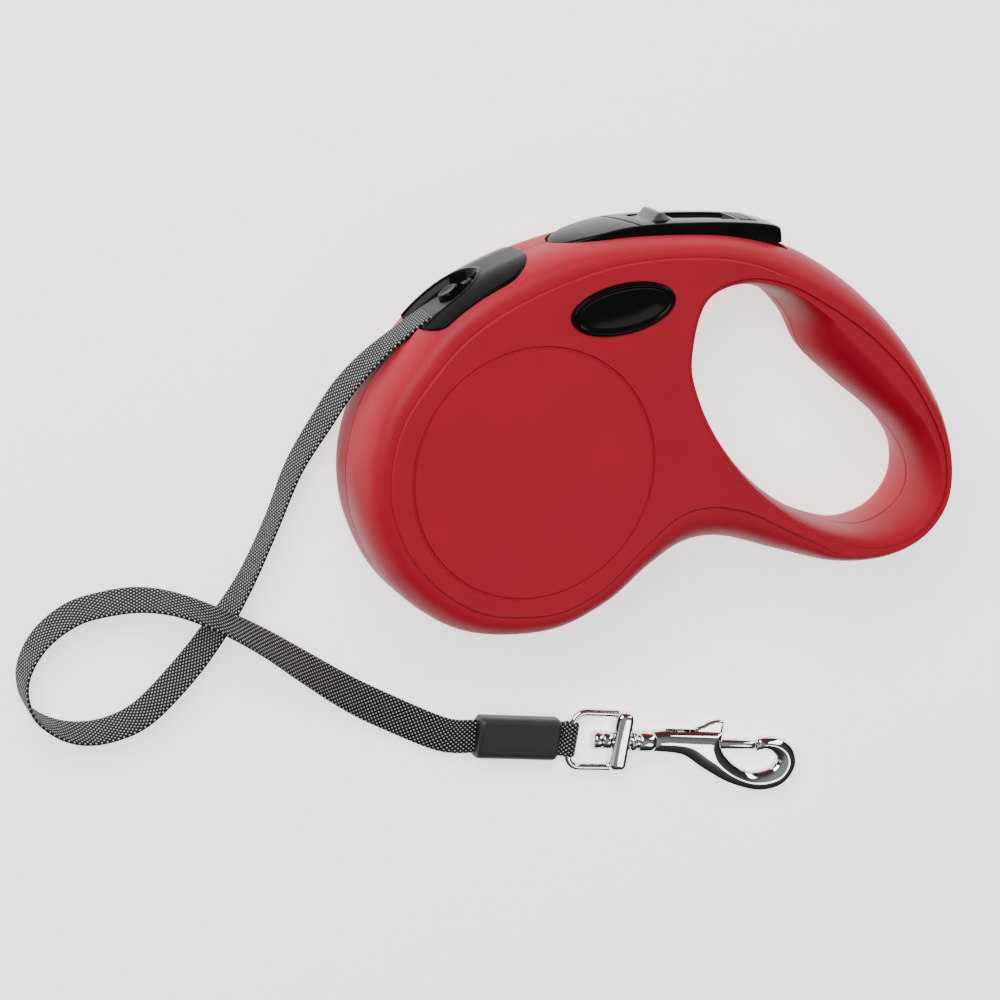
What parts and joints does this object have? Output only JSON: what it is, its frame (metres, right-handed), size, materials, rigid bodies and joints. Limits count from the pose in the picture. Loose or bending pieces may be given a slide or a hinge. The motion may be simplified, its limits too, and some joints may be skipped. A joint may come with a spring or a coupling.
{
  "type": "retractable leash",
  "caption": "Retractable tape leash: two-part casing with a hand grip, sprung reel, thumb brake, tape outlet, sleeve and swivel snap hook.",
  "frame": {"origin": "middle of the casing's box, tape and hook left out, on the surface that its rear face lies on", "axes": "+X along the casing from the reel to the grip, +Y towards the brake button's side, +Z out of the front face"},
  "size_m": [0.2756, 0.1887, 0.0339],
  "materials": {
    "red_shell": "satin red moulded plastic",
    "gloss_black": "glossy black moulded plastic",
    "dark_plastic": "dark grey moulded plastic",
    "white_plastic": "off-white moulded plastic",
    "steel": "bright steel",
    "tape": "black woven tape with light flecks",
    "sleeve_rubber": "black rubber",
    "chrome": "chrome-plated zinc and wire"
  },
  "bodies": {
    "casing": {"front_shell": "red_shell", "rear_shell": "red_shell", "badge": "gloss_black", "nozzle_insert": "gloss_black", "guide_pin": "steel", "button_pin": "steel", "button_spring": "steel", "inner_tape": "tape", "axle": "steel", "axle_washer": "steel", "retaining_clip": "steel", "casing_screws": "steel", "free_tape": "tape", "crimp_sleeve": "sleeve_rubber", "end_loop": "tape"},
    "reel_body": {"reel": "white_plastic", "reel_cover": "white_plastic", "power_spring": "steel", "wound_tape": "tape"},
    "roller": {"guide_roller": "white_plastic"},
    "button": {"brake_button": "gloss_black", "brake_pawl": "dark_plastic"},
    "slider": {"lock_slider": "gloss_black"},
    "eye": {"swivel_eye": "chrome"},
    "hook": {"swivel_post": "chrome", "hook_body": "chrome", "bolt_spring": "steel"},
    "bolt": {"hook_bolt": "chrome"}
  },
  "joints": [
    {"name": "reel_spin", "type": "hinge", "parent": "casing", "child": "reel_body", "pos_m": [-0.04085, -0.00541, 0.0165], "axis": [0, 0, 1], "continuous": true},
    {"name": "roller_spin", "type": "hinge", "parent": "casing", "child": "roller", "pos_m": [-0.05085, 0.04079, 0.0165], "axis": [0, 0, 1], "continuous": true},
    {"name": "brake_press", "type": "hinge", "parent": "casing", "child": "button", "pos_m": [-0.01935, 0.04938, 0.0165], "axis": [0, 0, -1], "range_deg": [0, 4], "stiffness_Nm_per_rad": 2, "springref_deg": -2.86, "deforming": ["button_spring"]},
    {"name": "lock_slide", "type": "slide", "parent": "button", "child": "slider", "axis": [0.9848, -0.1736, 0], "range_m": [0, 0.006]},
    {"name": "eye_pivot", "type": "hinge", "parent": "casing", "child": "eye", "pos_m": [-0.02811, -0.0983, 0.0036], "axis": [0.284, 0.9588, 0], "range_deg": [-80, 80]},
    {"name": "hook_swivel", "type": "hinge", "parent": "eye", "child": "hook", "pos_m": [-0.01085, -0.10342, 0.0036], "axis": [0.9588, -0.284, 0], "continuous": true},
    {"name": "bolt_slide", "type": "slide", "parent": "hook", "child": "bolt", "axis": [-0.9588, 0.284, 0], "range_m": [0, 0.009], "stiffness_N_per_m": 300, "springref_m": -0.004, "deforming": ["bolt_spring"]}
  ]
}
